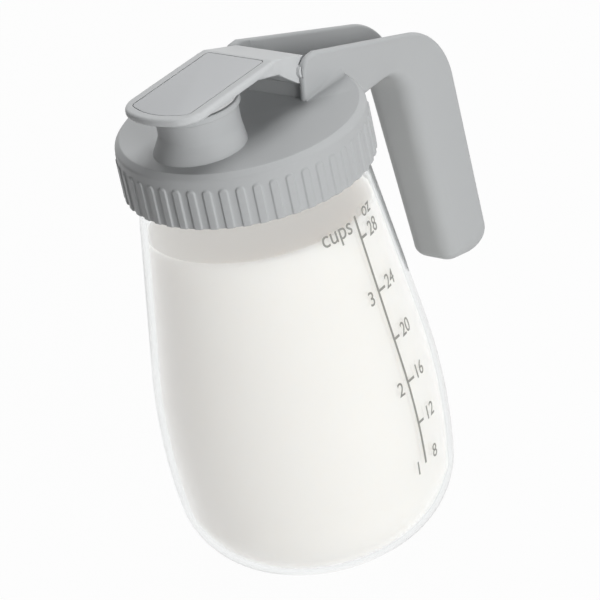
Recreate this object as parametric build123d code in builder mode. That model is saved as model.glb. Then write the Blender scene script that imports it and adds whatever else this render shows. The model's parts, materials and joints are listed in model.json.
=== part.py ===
from build123d import *
import os
from math import cos, radians, sin, tan

# A milk pitcher: a clear bottle, and a screw lid that carries the handle, the spout and its hinged cover.
# +Z is up. The origin is on the table, at the middle of the bottle.
# The spout is toward -Y and the handle toward +Y. Sizes are in millimetres.

# Bottle
glass_wall = 2.2
glass_floor = 3.4
foot_radius = 27.2
foot_ring_width = 4.0
punt_depth = 2.4
punt_edge = 3.0
heel_radius = 48.5
heel_height = 12.95
heel_rounding = 30.0
belly_radius = 52.7
belly_height = 54.5
side_straight = 1.4
shoulder_swell = 0.45
shoulder_drop = 8.2
shoulder_rounding = 40.0
body_radius = 40.4
body_height = 150.2
neck_inset = 1.4
neck_step = 0.9
neck_height = 13.4
rim_chamfer = 0.6

# Seal ring
seal_thickness = 1.8
seal_seat_gap = 0.3
seal_side_gap = 0.4

# Lid top and skirt
skirt_drop = 1.0
skirt_gap = 1.1
skirt_wall = 2.5
lid_edge_chamfer = 1.9
dish_depth = 0.8
lid_plate = 2.4
collar_wall = 1.8
collar_drop = 3.6
collar_gap = 1.2
rib_count = 48
rib_width = 3.3
rib_relief = 0.7
rib_length = 14.8

# Spout
spout_set_forward = 19.7
spout_bore = 12.0
spout_wall = 2.4
spout_rise = 15.6
spout_foot_radius = 16.6
spout_foot_shift = 1.9
spout_foot_height = 6.4
spout_foot_rounding = 3.0
lip_overhang = 1.2
lip_height = 2.4
lip_chamfer = 0.5

# Handle, seen from the side
handle_top_height = 18.2
handle_top_slope = 19.8
handle_front = 17.0
handle_reach = 97.5
handle_back_lean = 3.1
handle_back_rounding = 28.0
underside_rise = 3.3
grip_depth = 21.2
grip_front_lean = 4.9
grip_inner_rounding = 13.0
grip_length = 85.1
nose_rounding = 6.0
loft_lead = 4.0
overcut = 1.0

# Handle, seen along it
rail_outer_half = 19.5
rail_lower_half = 14.0
rail_thickness = 3.1
rail_top_rounding = 1.6
rail_inner_rounding = 1.0
rail_lower_rounding = 4.0
corner_outer_half = 14.8
corner_inner_half = 10.4
grip_outer_half = 13.6
grip_inner_half = 9.3
grip_rounding = 7.5
grip_end_rounding = 6.0
grip_back_rounding = 9.0
grip_end_corner = 1.6
channel_floor = 3.2
channel_floor_rounding = 1.6
channel_drop_share = 0.9
corner_shares = (0, 0.2, 0.4, 0.6, 0.8, 1)
grip_end_shares = (0, 0.3, 0.6, 0.85, 1)

# Hinge of the spout cover
hinge_reach = 18.7
hinge_height = 10.4
barrel_radius = 4.3
trunnion_radius = 2.3
trunnion_length = 1.7
trunnion_fit = 0.05
barrel_side_gap = 0.35
hinge_wall = 3.0
hinge_wall_front = 19.0
bay_swing = 9.3
hinge_wall_height = 5.0

# Spout cover
cover_thickness = 3.0
cover_gap = 2.0
cover_half_width = 16.3
cover_reach = 43.7
cover_front_sagitta = 5.0
cover_corner_rounding = 9.5
cover_edge_chamfer = 0.8
cover_under_chamfer = 1.3
cover_back = 9.0
cover_back_rounding = 4.0
cover_flat_end = 6.0
arm_start = -2.0
arm_elbow_reach = 8.0
arm_elbow_drop = 3.3
arm_back_reach = 3.3
arm_back_rise = 4.5
bay_half_width = 15.4

# Inlay panel in the spout cover
inlay_thickness = 1.2
inlay_half_width = 12.5
inlay_front_reach = 39.9
inlay_front_sagitta = 4.2
inlay_back = 4.8
inlay_rounding = 1.6
inlay_seam = 0.15

# Spout plug
plug_flange_inset = 0.6
plug_side_gap = 0.9
plug_depth = 4.6
plug_wall = 1.8
plug_taper = 4.0
plug_seat_gap = 0.3
stud_radius = 3.0
stud_length = 1.2
stud_fit = 0.05

# Sizes that follow from the ones above
neck_radius = body_radius - neck_inset
skirt_inner_radius = body_radius + skirt_gap
skirt_radius = skirt_inner_radius + skirt_wall
neck_top = body_height + neck_height
seal_bottom = neck_top + seal_seat_gap
seal_top = seal_bottom + seal_thickness
plate_underside = seal_top + seal_seat_gap
dish_bottom = plate_underside + lid_plate
lid_top = dish_bottom + dish_depth
skirt_bottom = body_height - skirt_drop
shoulder_top = lid_top - lid_edge_chamfer
rim_radius = skirt_radius - lid_edge_chamfer
underside_height = skirt_bottom + underside_rise
grip_bottom = underside_height - grip_length
grip_front_reach = handle_reach - grip_depth
lip_top = lid_top + spout_rise
cover_underside = lip_top + cover_gap
cover_top = cover_underside + cover_thickness
spout_outer = spout_bore + spout_wall
lip_outer = spout_outer + lip_overhang
hinge_z = lid_top + hinge_height
hinge_wall_top = lid_top + hinge_wall_height
arm_half_width = bay_half_width - barrel_side_gap
hinge_line = (hinge_reach, hinge_z)
bay_back = hinge_reach + bay_swing

os.makedirs("parts", exist_ok=True)


# Bottle: one revolved glass wall, with a pushed-up base and a plain neck under the lid.
# The belly's arc takes all of the side that the heel's arc leaves free, apart from a short straight.
punt_radius = foot_radius - foot_ring_width
foot = Vector(foot_radius, 0)
heel = Vector(heel_radius, heel_height)
belly = Vector(belly_radius, belly_height)
shoulder = Vector(body_radius + shoulder_swell, body_height - shoulder_drop)
heel_turn = (heel - foot).get_angle(belly - heel)
belly_turn = (belly - heel).get_angle(shoulder - belly)
heel_arc_reach = heel_rounding * tan(radians(heel_turn / 2))
belly_arc_reach = (belly - heel).length - heel_arc_reach - side_straight
belly_rounding = belly_arc_reach / tan(radians(belly_turn / 2))
with BuildPart() as bottle:
    with BuildSketch(Plane.XZ):
        with BuildLine():
            outline = FilletPolyline(
                foot,
                heel,
                belly,
                shoulder,
                (body_radius, body_height),
                radius=[heel_rounding, belly_rounding, shoulder_rounding],
            )
            inner = add(outline.wire().offset_2d(glass_wall, side=Side.LEFT, closed=False))
            inner_ends = inner.vertices().sort_by(Axis.Y)
            inner_foot, inner_top = Vector(inner_ends[0]), Vector(inner_ends[-1])
            Polyline(
                outline @ 1,
                (neck_radius, body_height + neck_step),
                (neck_radius, neck_top),
                (neck_radius - glass_wall, neck_top),
                (neck_radius - glass_wall, body_height + neck_step),
                inner_top,
            )
            Polyline(
                inner_foot,
                (punt_radius - punt_edge, punt_depth + glass_floor),
                (0, punt_depth + glass_floor),
                (0, punt_depth),
                (punt_radius - punt_edge, punt_depth),
                (punt_radius, 0),
                (foot_radius, 0),
            )
        make_face()
        chamfer(vertices().group_by(Axis.Y)[-1], rim_chamfer)
    revolve(axis=Axis.Z)
bottle.part.label = "bottle"
export_step(bottle.part, "parts/bottle.step")

# Seal ring: flat silicone ring under the lid plate, centred by the lid's inner collar
collar_outer = neck_radius - glass_wall - collar_gap
with BuildPart() as seal_ring:
    with BuildSketch(Plane.XY.offset(seal_bottom)):
        Circle(skirt_inner_radius - seal_side_gap)
        Circle(collar_outer + seal_side_gap, mode=Mode.SUBTRACT)
    extrude(amount=seal_thickness)
seal_ring.part.label = "seal_ring"
export_step(seal_ring.part, "parts/seal_ring.step")

# Handle: two rails that run back from the hinge and close into the grip, lofted between side curves
top_slope = tan(radians(handle_top_slope))
back_slope = tan(radians(handle_back_lean))
front_slope = tan(radians(grip_front_lean))


def rail_top(y):
    """Height of the handle's top line at a distance behind the bottle's axis."""
    return lid_top + handle_top_height - top_slope * (y - handle_front)


back_corner = (handle_reach, rail_top(handle_reach))
back_end = (handle_reach + back_slope * (back_corner[1] - grip_bottom), grip_bottom)
inner_corner = (grip_front_reach, underside_height)
inner_end = (grip_front_reach + front_slope * (underside_height - grip_bottom), grip_bottom)
end_middle = (inner_end[0] + back_end[0] - grip_back_rounding + grip_end_rounding) / 2
loft_start = handle_front - loft_lead
with BuildLine() as outer_side:
    FilletPolyline(
        (loft_start, rail_top(loft_start)),
        back_corner,
        back_end,
        (end_middle, grip_bottom),
        radius=[handle_back_rounding, grip_back_rounding],
    )
with BuildLine() as inner_side:
    FilletPolyline(
        (loft_start, underside_height),
        inner_corner,
        inner_end,
        (end_middle, grip_bottom),
        radius=[grip_inner_rounding, grip_end_rounding],
    )


def between(start, end, share):
    """Value part of the way from start to end."""
    return start + (end - start) * share


def runs(hollow):
    """Runs of the handle, or of the channel sunk in it: each lists its sections for section()."""
    top, turn, back, back_end_arc, _ = outer_side.wire().order_edges()
    under, inner_turn, front, front_end_arc, _ = inner_side.wire().order_edges()
    yield [
        (top @ 0, under @ 0, rail_outer_half, rail_lower_half, rail_top_rounding, rail_lower_rounding),
        (top @ 1, under @ 1, corner_outer_half, corner_inner_half, rail_top_rounding, rail_lower_rounding),
    ]
    yield [
        (
            turn @ share,
            inner_turn @ share,
            corner_outer_half,
            corner_inner_half,
            rail_top_rounding,
            between(rail_lower_rounding, grip_rounding, share),
        )
        for share in corner_shares
    ]
    back_share = channel_drop_share if hollow else 1
    yield [
        (back @ 0, front @ 0, corner_outer_half, corner_inner_half, rail_top_rounding, grip_rounding),
        (
            back @ back_share,
            front @ back_share,
            between(corner_outer_half, grip_outer_half, back_share),
            between(corner_inner_half, grip_inner_half, back_share),
            rail_top_rounding,
            grip_rounding,
        ),
    ]
    if hollow:
        return
    end = []
    for share in grip_end_shares:
        inset = grip_end_rounding * (1 - cos(radians(90 * share)))
        end.append(
            (
                back_end_arc @ share,
                front_end_arc @ share,
                grip_outer_half - inset,
                grip_inner_half - inset,
                rail_top_rounding,
                between(grip_rounding, grip_end_corner, share),
            )
        )
    yield end


def section(outer, inner, outer_half, inner_half, outer_rounding, inner_rounding, hollow):
    """One section across the handle, wider on its outer side, or of the channel inside it."""
    across = Vector(0, outer.X - inner.X, outer.Y - inner.Y)
    plane = Plane(origin=(0, inner.X, inner.Y), x_dir=(1, 0, 0), z_dir=Vector(1, 0, 0).cross(across))
    low, high, thinner = 0, across.length, 0
    if hollow:
        low, high, thinner = channel_floor, across.length + rail_thickness, rail_thickness
    spread = (outer_half - inner_half) / across.length
    with BuildSketch(plane) as face:
        with BuildLine():
            low_half = inner_half + spread * low - thinner
            high_half = inner_half + spread * high - thinner
            Polyline((-low_half, low), (low_half, low), (high_half, high), (-high_half, high), close=True)
        make_face()
        if hollow:
            floor_rounding = max(inner_rounding - rail_thickness, channel_floor_rounding)
            fillet(vertices().group_by(Axis.Y)[0], floor_rounding)
        else:
            fillet(vertices().group_by(Axis.Y)[0], inner_rounding)
            fillet(vertices().group_by(Axis.Y)[-1], outer_rounding)
    return face.sketch


# The channel is open on the handle's outer side: along the top, round the corner and down the grip
with BuildPart() as channel:
    for run in runs(hollow=True):
        loft(sections=[section(*sizes, hollow=True) for sizes in run], ruled=len(run) == 2)

with BuildPart() as handle:
    for run in runs(hollow=False):
        loft(sections=[section(*sizes, hollow=False) for sizes in run], ruled=len(run) == 2)
    add(channel.part, mode=Mode.SUBTRACT)
    long_edges = edges(Select.LAST).filter_by(lambda e: e.length > handle_back_rounding)
    fillet(long_edges.filter_by(lambda e: e.center().Y > handle_front), rail_inner_rounding)

    # The front of the rails: cut square, rounded off at the top, and softened at its outer edges
    front_top = rail_top(handle_front)
    nose_tangent = nose_rounding * tan(radians(45 + handle_top_slope / 2))
    nose_low = (handle_front, front_top - nose_tangent)
    nose_back = handle_front + nose_tangent * cos(radians(handle_top_slope))
    nose_high = (nose_back, rail_top(nose_back))
    with BuildSketch(Plane.YZ):
        with BuildLine():
            Polyline(
                (handle_front, underside_height - overcut),
                (loft_start - overcut, underside_height - overcut),
                (loft_start - overcut, front_top + nose_rounding),
                (nose_back, front_top + nose_rounding),
                nose_high,
            )
            TangentArc(nose_low, nose_high, tangent=(0, 1))
            Line(nose_low, (handle_front, underside_height - overcut))
        make_face()
    extrude(amount=2 * rail_outer_half, both=True, mode=Mode.SUBTRACT)

# One grip rib of the skirt, rounded at its upper end
with BuildPart() as rib:
    with BuildSketch(Plane(origin=(skirt_radius - rib_relief, 0, 0), x_dir=(0, 1, 0), z_dir=(1, 0, 0))):
        with Locations((0, skirt_bottom)):
            Rectangle(rib_width, rib_length - rib_width / 2, align=(Align.CENTER, Align.MIN))
        with Locations((0, skirt_bottom + rib_length - rib_width / 2)):
            Circle(rib_width / 2)
    extrude(amount=2 * rib_relief)

# Lid: ribbed skirt, dished top, spout and handle in one moulding
with BuildPart() as lid:
    with BuildSketch(Plane.XZ):
        with BuildLine():
            Polyline(
                (0, dish_bottom),
                (0, skirt_bottom),
                (skirt_radius, skirt_bottom),
                (skirt_radius, shoulder_top),
                (rim_radius, lid_top),
                (0, dish_bottom),
            )
        make_face()
    revolve(axis=Axis.Z)
    with PolarLocations(0, rib_count):
        add(rib.part)
    add(handle.part)
    with Locations((0, hinge_wall_front, plate_underside)):
        Box(
            2 * bay_half_width + overcut,
            hinge_wall,
            hinge_wall_top - plate_underside,
            align=(Align.CENTER, Align.MIN, Align.MIN),
        )

    # Room for the cover's arm and barrel between the fronts of the rails
    with Locations((0, loft_start, hinge_wall_top)):
        Box(
            2 * bay_half_width,
            bay_back - loft_start,
            handle_top_height,
            align=(Align.CENTER, Align.MIN, Align.MIN),
            mode=Mode.SUBTRACT,
        )

    # Spout: a coned foot set further forward than the tube, the tube and its lip
    with BuildSketch(Plane.XY.offset(dish_bottom)):
        with Locations((0, -spout_set_forward - spout_foot_shift)):
            Circle(spout_foot_radius)
    with BuildSketch(Plane.XY.offset(dish_bottom + spout_foot_height)):
        with Locations((0, -spout_set_forward)):
            Circle(spout_outer)
    loft(ruled=True)
    crease_height = dish_bottom + spout_foot_height
    with BuildSketch(Plane.XY.offset(crease_height)):
        with Locations((0, -spout_set_forward)):
            Circle(spout_outer)
    extrude(amount=lip_top - crease_height)
    crease = edges().filter_by(GeomType.CIRCLE).filter_by_position(Axis.Z, crease_height, crease_height)
    fillet(crease, spout_foot_rounding)
    with BuildSketch(Plane.XY.offset(lip_top - lip_height)):
        with Locations((0, -spout_set_forward)):
            Circle(lip_outer)
    extrude(amount=lip_height)

    # Hollow skirt, the collar that centres the seal ring, and the bore of the spout
    with BuildSketch(Plane.XY.offset(skirt_bottom)):
        Circle(skirt_inner_radius)
    extrude(amount=plate_underside - skirt_bottom, mode=Mode.SUBTRACT)
    with BuildSketch(Plane.XY.offset(plate_underside - collar_drop)):
        Circle(collar_outer)
        Circle(collar_outer - collar_wall, mode=Mode.SUBTRACT)
    extrude(amount=collar_drop)
    with BuildSketch(Plane.XY.offset(plate_underside)):
        with Locations((0, -spout_set_forward)):
            Circle(spout_bore)
    extrude(amount=lip_top - plate_underside, mode=Mode.SUBTRACT)
    chamfer(faces().filter_by(Axis.Z).sort_by(Axis.Z)[-1].edges(), lip_chamfer)

    # Blind sockets in the rails for the cover's trunnions
    with BuildSketch(Plane.YZ):
        with Locations(hinge_line):
            Circle(trunnion_radius + trunnion_fit)
    extrude(amount=arm_half_width + trunnion_length + barrel_side_gap, both=True, mode=Mode.SUBTRACT)
lid.part.label = "lid"
export_step(lid.part, "parts/lid.step")


def cover_outline(half_width, reach, sagitta, back):
    """Outline of the cover or its inlay: straight sides, a bowed front and a straight back."""
    right, left = (half_width, sagitta - reach), (-half_width, sagitta - reach)
    Polyline(right, (half_width, back), (-half_width, back), left)
    ThreePointArc(right, (0, -reach), left)


# Spout cover: a flat lid over the spout and an arm that drops to the hinge between the rails
with BuildPart() as spout_cover:
    with BuildSketch(Plane.XY.offset(cover_underside)):
        with BuildLine():
            cover_outline(cover_half_width, cover_reach, cover_front_sagitta, cover_back)
        make_face()
        fillet(vertices().group_by(Axis.Y)[0], cover_corner_rounding)
        fillet(vertices().group_by(Axis.Y)[-1], cover_back_rounding)
    extrude(amount=cover_thickness)
    chamfer(faces().sort_by(Axis.Z)[-1].edges(), cover_edge_chamfer)
    chamfer(faces().sort_by(Axis.Z)[0].edges(), cover_under_chamfer)
    arm_back = (hinge_reach + arm_back_reach, hinge_z + arm_back_rise)
    with BuildSketch(Plane.YZ):
        with BuildLine():
            flat_end = (cover_flat_end, cover_top)
            Polyline(flat_end, (arm_back[0], cover_top + overcut), arm_back, flat_end)
        make_face()
    extrude(amount=2 * cover_half_width, both=True, mode=Mode.SUBTRACT)
    with BuildSketch(Plane.YZ):
        with BuildLine():
            Polyline(
                (arm_start, cover_underside),
                (arm_elbow_reach, cover_underside - arm_elbow_drop),
                (hinge_reach - barrel_radius * sin(radians(45)), hinge_z - barrel_radius * cos(radians(45))),
                hinge_line,
                arm_back,
                (cover_flat_end, cover_top),
                (arm_start, cover_top),
                close=True,
            )
        make_face()
        with Locations(hinge_line):
            Circle(barrel_radius)
    extrude(amount=arm_half_width, both=True)
    with BuildSketch(Plane.YZ):
        with Locations(hinge_line):
            Circle(trunnion_radius)
    extrude(amount=arm_half_width + trunnion_length, both=True)
    with BuildSketch(Plane.XY.offset(cover_top)):
        with BuildLine():
            cover_outline(inlay_half_width, inlay_front_reach, inlay_front_sagitta, inlay_back)
        make_face()
        fillet(vertices(), inlay_rounding)
        offset(amount=inlay_seam)
    extrude(amount=-inlay_thickness, mode=Mode.SUBTRACT)
    with BuildSketch(Plane.XY.offset(cover_underside)):
        with Locations((0, -spout_set_forward)):
            Circle(stud_radius + stud_fit)
    extrude(amount=stud_length, mode=Mode.SUBTRACT)
spout_cover.part.label = "spout_cover"
export_step(spout_cover.part, "parts/spout_cover.step")

# Inlay panel: a bare plate set flush in the cover
with BuildPart() as cover_inlay:
    with BuildSketch(Plane.XY.offset(cover_top)):
        with BuildLine():
            cover_outline(inlay_half_width, inlay_front_reach, inlay_front_sagitta, inlay_back)
        make_face()
        fillet(vertices(), inlay_rounding)
    extrude(amount=-inlay_thickness)
cover_inlay.part.label = "cover_inlay"
export_step(cover_inlay.part, "parts/cover_inlay.step")

# Spout plug: a soft cup under the cover, held by a stud
with BuildPart() as spout_plug:
    flange_bottom = lip_top + plug_seat_gap
    with BuildSketch(Plane.XY.offset(flange_bottom)):
        with Locations((0, -spout_set_forward)):
            Circle(lip_outer - plug_flange_inset)
    extrude(amount=cover_underside - flange_bottom)
    with BuildSketch(Plane.XY.offset(cover_underside)):
        with Locations((0, -spout_set_forward)):
            Circle(stud_radius)
    extrude(amount=stud_length)
    with BuildSketch(Plane.XY.offset(flange_bottom)):
        with Locations((0, -spout_set_forward)):
            Circle(spout_bore - plug_side_gap)
    extrude(amount=-plug_depth, taper=plug_taper)
    with BuildSketch(Plane.XY.offset(flange_bottom)):
        with Locations((0, -spout_set_forward)):
            Circle(spout_bore - plug_side_gap - plug_wall)
    extrude(amount=-plug_depth, taper=plug_taper, mode=Mode.SUBTRACT)
spout_plug.part.label = "spout_plug"
export_step(spout_plug.part, "parts/spout_plug.step")
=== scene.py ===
"""Milk pitcher: a clear glass bottle of milk under a satin polypropylene lid with a handle and a flap.

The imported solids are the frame. Everything here is dressed or built around them, in metres, +Z up, with the
spout toward -Y and the handle toward +Y.
"""

import json
import logging
import math
from collections.abc import Callable
from dataclasses import dataclass
from enum import Enum

import bmesh
import bpy
from mathutils import Matrix, Vector


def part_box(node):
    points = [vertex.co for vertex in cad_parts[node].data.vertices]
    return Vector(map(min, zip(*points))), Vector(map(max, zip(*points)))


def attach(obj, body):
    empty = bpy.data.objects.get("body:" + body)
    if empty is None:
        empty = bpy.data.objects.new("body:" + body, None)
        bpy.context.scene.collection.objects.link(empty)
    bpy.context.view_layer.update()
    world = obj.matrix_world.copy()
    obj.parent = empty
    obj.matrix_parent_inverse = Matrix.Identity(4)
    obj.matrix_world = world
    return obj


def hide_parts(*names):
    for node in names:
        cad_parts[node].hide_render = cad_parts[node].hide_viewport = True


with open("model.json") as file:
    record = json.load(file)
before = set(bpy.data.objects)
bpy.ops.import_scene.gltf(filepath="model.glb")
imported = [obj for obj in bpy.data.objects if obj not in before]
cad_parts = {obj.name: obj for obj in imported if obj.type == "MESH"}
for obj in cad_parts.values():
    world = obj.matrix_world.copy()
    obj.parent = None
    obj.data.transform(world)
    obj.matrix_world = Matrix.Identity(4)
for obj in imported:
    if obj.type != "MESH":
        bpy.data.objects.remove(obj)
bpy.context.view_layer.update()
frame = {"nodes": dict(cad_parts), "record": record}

MM = 0.001
# How far a cutting block goes past what it cuts, in millimetres.
OVERCUT = 5.0
LOG = logging.getLogger("pitcher")

# A pair is a point of an outline, or two sizes that belong together. A triple is a corner of an outline with
# its rounding, a place in space, or three sizes that belong together.
Ring = list[Vector]
Pair = tuple[float, float]
Triple = tuple[float, float, float]


def linear(code: str) -> tuple[float, float, float, float]:
    """Turn an sRGB hex colour into linear RGBA.

    Args:
        code: the colour as "#rrggbb".

    Returns:
        Red, green, blue and an alpha of 1.
    """
    parts = [int(code[i : i + 2], 16) / 255 for i in (1, 3, 5)]
    return (*(p / 12.92 if p <= 0.04045 else ((p + 0.055) / 1.055) ** 2.4 for p in parts), 1.0)


def add_node(
    tree: bpy.types.NodeTree, kind: str, sockets: dict[str | int, object] | None = None, **settings: object
) -> bpy.types.Node:
    """Add a shader node with its settings and links.

    Args:
        tree: the node tree that gets the node.
        kind: the node's type, as Blender names it.
        sockets: a value, or an output to link, for each input by name or number.
        settings: the node's own properties.

    Returns:
        The new node.
    """
    node = tree.nodes.new(kind)
    for name, value in settings.items():
        setattr(node, name, value)
    for name, value in (sockets or {}).items():
        if isinstance(value, bpy.types.NodeSocket):
            tree.links.new(value, node.inputs[name])
        else:
            node.inputs[name].default_value = value
    return node


def empty_material(name: str) -> tuple[bpy.types.Material, bpy.types.NodeTree]:
    """Make a material with an empty node tree.

    Args:
        name: what the material is called.

    Returns:
        The material and its tree.
    """
    material = bpy.data.materials.new(name)
    material.use_nodes = True
    material.node_tree.nodes.clear()
    return material, material.node_tree


def show(tree: bpy.types.NodeTree, shader: bpy.types.NodeSocket) -> None:
    """Link a shader to the tree's output."""
    add_node(tree, "ShaderNodeOutputMaterial", {"Surface": shader})


def seen_rays(tree: bpy.types.NodeTree) -> bpy.types.NodeSocket:
    """Tell the rays that look at a thing, straight, through the glass or off a gloss, from those that light.

    Args:
        tree: the node tree that needs to know.

    Returns:
        An output that is 1 for those rays and 0 for the others.
    """
    path = add_node(tree, "ShaderNodeLightPath").outputs
    sockets = {0: path["Is Camera Ray"], 1: path["Is Transmission Ray"]}
    through = add_node(tree, "ShaderNodeMath", sockets, operation="MAXIMUM")
    sockets = {0: through.outputs[0], 1: path["Is Glossy Ray"]}
    return add_node(tree, "ShaderNodeMath", sockets, operation="MAXIMUM").outputs[0]


@dataclass(frozen=True)
class MouldedPolymer:
    """Polypropylene or silicone from a spark-eroded mould: satin, with a fine even grain and no wear.

    The grain breaks the highlight up softly. A real one is about 0.05 mm, too fine to show, so it is drawn
    at grain_mm.
    """

    name: str
    colour: str
    roughness: float
    ior: float = 1.49
    grain_mm: float = 0.35
    grain_depth_mm: float = 0.006
    cloud_mm: float = 45.0
    roughness_drift: float = 0.03
    subsurface: float = 0.0
    subsurface_mm: float = 1.5

    def material(self) -> bpy.types.Material:
        """Build the material.

        Returns:
            The material, its grain in object space.
        """
        material, tree = empty_material(self.name)
        place = add_node(tree, "ShaderNodeTexCoord").outputs["Object"]
        grains = {"Vector": place, "Scale": 1 / (self.grain_mm * MM), "Detail": 2.0}
        grain = add_node(tree, "ShaderNodeTexNoise", grains)
        clouds = {"Vector": place, "Scale": 1 / (self.cloud_mm * MM), "Detail": 1.0}
        cloud = add_node(tree, "ShaderNodeTexNoise", clouds)
        least, most = self.roughness - self.roughness_drift, self.roughness + self.roughness_drift
        drift = {"Value": cloud.outputs["Fac"], "To Min": least, "To Max": most}
        rough = add_node(tree, "ShaderNodeMapRange", drift)
        relief = {"Height": grain.outputs["Fac"], "Strength": 0.5, "Distance": self.grain_depth_mm * MM}
        bump = add_node(tree, "ShaderNodeBump", relief)
        shader = add_node(
            tree,
            "ShaderNodeBsdfPrincipled",
            {
                "Base Color": linear(self.colour),
                "Roughness": rough.outputs["Result"],
                "IOR": self.ior,
                "Normal": bump.outputs["Normal"],
                "Subsurface Weight": self.subsurface,
                "Subsurface Scale": self.subsurface_mm * MM,
            },
        )
        show(tree, shader.outputs["BSDF"])
        return material


@dataclass(frozen=True)
class ClearGlass:
    """Soda-lime glass, blown and fire-polished: clear, faintly grey only where one looks along the wall.

    Rays that light the milk pass straight through, so it is lit behind the wall as it really is.
    """

    name: str = "clear_soda_lime_glass"
    colour: str = "#F6F8F8"
    light_colour: str = "#F8FAFA"
    roughness: float = 0.015
    ior: float = 1.5
    wave_mm: float = 30.0
    wave_depth_mm: float = 0.004

    def material(self) -> bpy.types.Material:
        """Build the material.

        Returns:
            The material, with the slow waves of blown glass as a faint bump.
        """
        material, tree = empty_material(self.name)
        place = add_node(tree, "ShaderNodeTexCoord").outputs["Object"]
        wave = add_node(tree, "ShaderNodeTexNoise", {"Vector": place, "Scale": 1 / (self.wave_mm * MM)})
        relief = {"Height": wave.outputs["Fac"], "Strength": 0.3, "Distance": self.wave_depth_mm * MM}
        bump = add_node(tree, "ShaderNodeBump", relief)
        glass = add_node(
            tree,
            "ShaderNodeBsdfPrincipled",
            {
                "Base Color": linear(self.colour),
                "Roughness": self.roughness,
                "IOR": self.ior,
                "Transmission Weight": 1.0,
                "Normal": bump.outputs["Normal"],
            },
        )
        clear = add_node(tree, "ShaderNodeBsdfTransparent", {"Color": linear(self.light_colour)})
        path = add_node(tree, "ShaderNodeLightPath").outputs
        rays = {0: path["Is Shadow Ray"], 1: path["Is Diffuse Ray"]}
        lighting = add_node(tree, "ShaderNodeMath", rays, operation="MAXIMUM")
        shaders = {0: lighting.outputs[0], 1: glass.outputs["BSDF"], 2: clear.outputs["BSDF"]}
        show(tree, add_node(tree, "ShaderNodeMixShader", shaders).outputs["Shader"])
        return material


@dataclass(frozen=True)
class Milk:
    """Whole milk: fat droplets scatter light through all of it, so it looks warm white and hardly shaded.

    The light that has gone right through the milk, past the depth that is traced, is given as a faint glow.
    """

    name: str = "whole_milk"
    colour: str = "#CBC8C5"
    cream: str = "#CECBC8"
    glow_colour: str = "#FFF8F2"
    cloud_mm: float = 60.0
    roughness: float = 0.25
    ior: float = 1.35
    depth_mm: float = 25.0
    glow: float = 0.45

    def material(self) -> bpy.types.Material:
        """Build the material.

        Returns:
            The material, with faint clouds of cream in its colour.
        """
        material, tree = empty_material(self.name)
        place = add_node(tree, "ShaderNodeTexCoord").outputs["Object"]
        clouds = {"Vector": place, "Scale": 1 / (self.cloud_mm * MM), "Detail": 1.0}
        cloud = add_node(tree, "ShaderNodeTexNoise", clouds)
        colours = {0: cloud.outputs["Fac"], 6: linear(self.colour), 7: linear(self.cream)}
        tint = add_node(tree, "ShaderNodeMix", colours, data_type="RGBA")
        shader = add_node(
            tree,
            "ShaderNodeBsdfPrincipled",
            {
                "Base Color": tint.outputs[2],
                "Roughness": self.roughness,
                "IOR": self.ior,
                "Subsurface Weight": 1.0,
                "Subsurface Radius": (1.0, 0.9, 0.8),
                "Subsurface Scale": self.depth_mm * MM,
                "Emission Color": linear(self.glow_colour),
                "Emission Strength": self.glow,
            },
        )
        show(tree, shader.outputs["BSDF"])
        return material


@dataclass(frozen=True)
class PrintedInk:
    """Ceramic ink, screen-printed and fired on the glass: matt, with a faint mesh unevenness."""

    name: str = "screen_printed_grey_ink"
    colour: str = "#94948F"
    thick_colour: str = "#8C8C87"
    roughness: float = 0.6
    mesh_mm: float = 0.3

    def material(self) -> bpy.types.Material:
        """Build the material.

        Returns:
            The material.
        """
        material, tree = empty_material(self.name)
        place = add_node(tree, "ShaderNodeTexCoord").outputs["Object"]
        mesh = add_node(tree, "ShaderNodeTexNoise", {"Vector": place, "Scale": 1 / (self.mesh_mm * MM)})
        colours = {0: mesh.outputs["Fac"], 6: linear(self.colour), 7: linear(self.thick_colour)}
        tint = add_node(tree, "ShaderNodeMix", colours, data_type="RGBA")
        ink = {"Base Color": tint.outputs[2], "Roughness": self.roughness}
        show(tree, add_node(tree, "ShaderNodeBsdfPrincipled", ink).outputs["BSDF"])
        return material


class Finish(Enum):
    """The finishes that the pitcher's pieces have."""

    BODY = MouldedPolymer("satin_grey_polypropylene", "#AEB0B1", 0.42)
    # The flap is the body's grey plastic. Its lighter colour here is painted light: the light from above that
    # its open top catches and the lid's shaded top does not.
    FLAP = MouldedPolymer("satin_grey_polypropylene_painted_lighter", "#C0C2C3", 0.40)
    PANEL = MouldedPolymer("satin_panel_polypropylene", "#BCBEC0", 0.38)
    PLUG = MouldedPolymer("pale_grey_silicone", "#BCBDBD", 0.5, ior=1.41)
    SEAL = MouldedPolymer("translucent_white_silicone", "#E4E5E4", 0.5, ior=1.41, subsurface=0.5)
    GLASS = ClearGlass()
    MILK = Milk()
    INK = PrintedInk()


MATERIALS: dict[Finish, bpy.types.Material] = {}


def frame_mm(node: str, axis: int, end: int) -> float:
    """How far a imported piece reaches, to a tenth of a millimetre.

    Args:
        node: the piece's node in the frame.
        axis: 0, 1 or 2 for X, Y or Z.
        end: 0 for its lowest place along the axis or 1 for its highest.

    Returns:
        The place in millimetres.
    """
    return round(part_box(node)[end][axis] / MM, 1)


def joint_mm(name: str) -> Pair:
    """Where a packed joint's axis passes.

    Args:
        name: the joint's name.

    Returns:
        Its place along Y and Z, in millimetres.
    """
    place = next(joint["pos_m"] for joint in frame["record"]["behaviour"]["joints"] if joint["name"] == name)
    return round(place[1] / MM, 1), round(place[2] / MM, 1)


# What the lid and its flap share: the hinge's axis along Y and Z, and the middle of the spout along Y.
HINGE = joint_mm("cover_hinge")
SPOUT_CENTRE = round((frame_mm("spout_plug", 1, 0) + frame_mm("spout_plug", 1, 1)) / 2, 1)


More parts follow.
